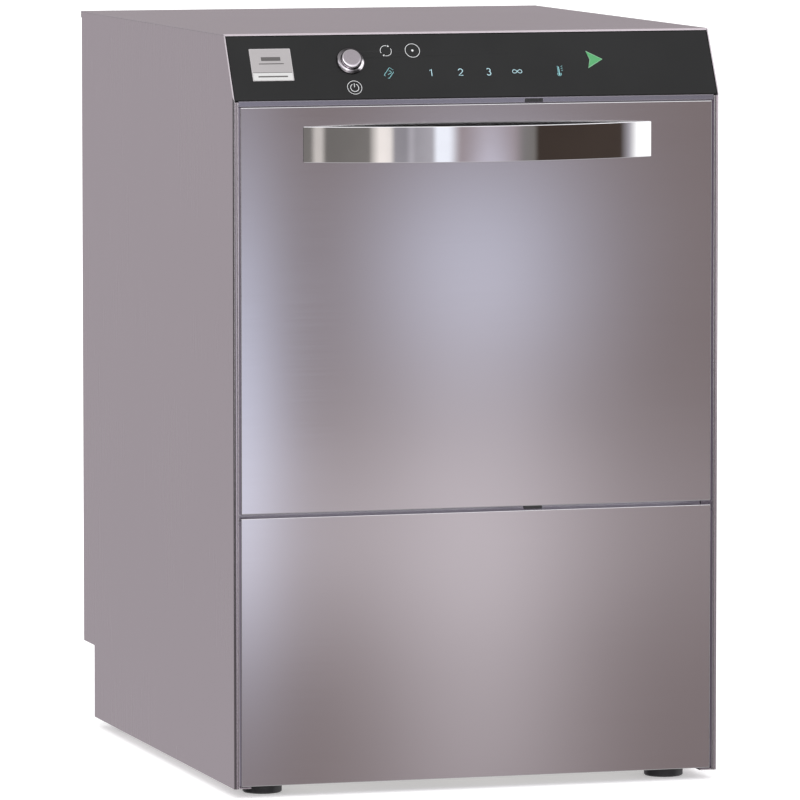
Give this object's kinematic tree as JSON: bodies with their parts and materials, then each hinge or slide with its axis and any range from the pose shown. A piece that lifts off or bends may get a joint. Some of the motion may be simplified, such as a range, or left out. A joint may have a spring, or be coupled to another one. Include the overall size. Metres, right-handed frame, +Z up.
{
  "type": "glass washer machine",
  "caption": "Front-loading under-counter glass washer with a drop-down door, bowed bar handle, sloping control panel and adjustable feet.",
  "frame": {"origin": "on the floor, under the middle of the machine's overall box with its handle included", "axes": "+Z up, -Y out of the front towards the operator, +X to the operator's right"},
  "size_m": [0.435, 0.564, 0.653],
  "materials": {
    "stainless": "satin brushed",
    "polished_steel": "polished",
    "black_fascia": "satin printed film",
    "silver_badge": "satin",
    "green_lens": "translucent",
    "clear_plastic": "clear",
    "circuit_board": "solder mask",
    "rubber": "matt",
    "black_plastic": "fine grained",
    "grey_plastic": "moulded",
    "zinc_steel": "bright zinc"
  },
  "bodies": {
    "cabinet": {"arm_nuts": "grey_plastic", "badge_plate": "silver_badge", "base_pan": "stainless", "basket_rails": "stainless", "boiler": "stainless", "control_board": "circuit_board", "control_fascia": "black_fascia", "delivery_pipe": "grey_plastic", "door_frame": "stainless", "door_gasket": "rubber", "door_springs": "stainless", "door_switch": "black_plastic", "dosing_pumps": "black_plastic", "drain_hose": "rubber", "drain_pump": "black_plastic", "drain_tee": "grey_plastic", "hinge_brackets": "stainless", "inlet_hose": "rubber", "inlet_valve": "black_plastic", "left_side_panel": "stainless", "light_guides": "clear_plastic", "lower_arm_column": "stainless", "lower_front_panel": "stainless", "lower_rinse_hose": "rubber", "overflow_hose": "rubber", "panel_carrier": "stainless", "power_button_bezel": "polished_steel", "power_button_nut": "black_plastic", "power_switch_block": "black_plastic", "rear_panel": "stainless", "rear_service_plate": "stainless", "right_side_panel": "stainless", "riser_pipe": "grey_plastic", "roof_panel": "stainless", "start_key_lens": "green_lens", "suction_hose": "rubber", "tank_filter": "stainless", "tank_heater": "stainless", "upper_arm_column": "stainless", "upper_rinse_hose": "rubber", "wash_pump": "black_plastic", "wash_tank": "stainless"},
    "door": {"door_outer_skin": "stainless", "door_inner_skin": "stainless", "door_handle": "polished_steel", "handle_screws": "zinc_steel", "door_bumper": "rubber", "hinge_arms": "stainless"},
    "lower_wash_arm": {"lower_wash_arm": "stainless"},
    "lower_rinse_arm": {"lower_rinse_arm": "stainless"},
    "upper_wash_arm": {"upper_wash_arm": "stainless"},
    "upper_rinse_arm": {"upper_rinse_arm": "stainless"},
    "overflow": {"overflow_pipe": "grey_plastic"},
    "basket": {"glass_basket": "grey_plastic"},
    "power_button": {"power_button_cap": "polished_steel"},
    "impeller": {"pump_impeller": "black_plastic"},
    "front_left_foot": {"front_left_foot": "black_plastic"},
    "front_right_foot": {"front_right_foot": "black_plastic"},
    "rear_left_foot": {"rear_left_foot": "black_plastic"},
    "rear_right_foot": {"rear_right_foot": "black_plastic"}
  },
  "joints": [
    {"name": "door_hinge", "type": "hinge", "parent": "cabinet", "child": "door", "pos_m": [0, -0.238, 0.2527], "axis": [1, 0, 0], "range_deg": [0, 90], "deforming": ["door_springs"]},
    {"name": "lower_wash_arm_spin", "type": "hinge", "parent": "cabinet", "child": "lower_wash_arm", "pos_m": [0, -0.007, 0.245], "axis": [0, 0, 1], "continuous": true},
    {"name": "lower_rinse_arm_spin", "type": "hinge", "parent": "cabinet", "child": "lower_rinse_arm", "pos_m": [0, -0.007, 0.262], "axis": [0, 0, 1], "continuous": true},
    {"name": "upper_wash_arm_spin", "type": "hinge", "parent": "cabinet", "child": "upper_wash_arm", "pos_m": [0, -0.007, 0.56], "axis": [0, 0, 1], "continuous": true},
    {"name": "upper_rinse_arm_spin", "type": "hinge", "parent": "cabinet", "child": "upper_rinse_arm", "pos_m": [0, -0.007, 0.544], "axis": [0, 0, 1], "continuous": true},
    {"name": "overflow_lift", "type": "slide", "parent": "cabinet", "child": "overflow", "axis": [0, 0, 1], "range_m": [0, 0.025]},
    {"name": "basket_play", "type": "slide", "parent": "cabinet", "child": "basket", "axis": [0, -1, 0], "range_m": [-0.015, 0.015]},
    {"name": "power_button_press", "type": "slide", "parent": "cabinet", "child": "power_button", "axis": [0, 0.8705, -0.4923], "range_m": [0, 0.002]},
    {"name": "pump_impeller_spin", "type": "hinge", "parent": "cabinet", "child": "impeller", "pos_m": [-0.11, -0.078, 0.082], "axis": [0, 1, 0], "continuous": true},
    {"name": "front_left_foot_height", "type": "slide", "parent": "cabinet", "child": "front_left_foot", "axis": [0, 0, -1], "range_m": [0, 0.02]},
    {"name": "front_right_foot_height", "type": "slide", "parent": "cabinet", "child": "front_right_foot", "axis": [0, 0, -1], "range_m": [0, 0.02]},
    {"name": "rear_left_foot_height", "type": "slide", "parent": "cabinet", "child": "rear_left_foot", "axis": [0, 0, -1], "range_m": [0, 0.02]},
    {"name": "rear_right_foot_height", "type": "slide", "parent": "cabinet", "child": "rear_right_foot", "axis": [0, 0, -1], "range_m": [0, 0.02]}
  ]
}
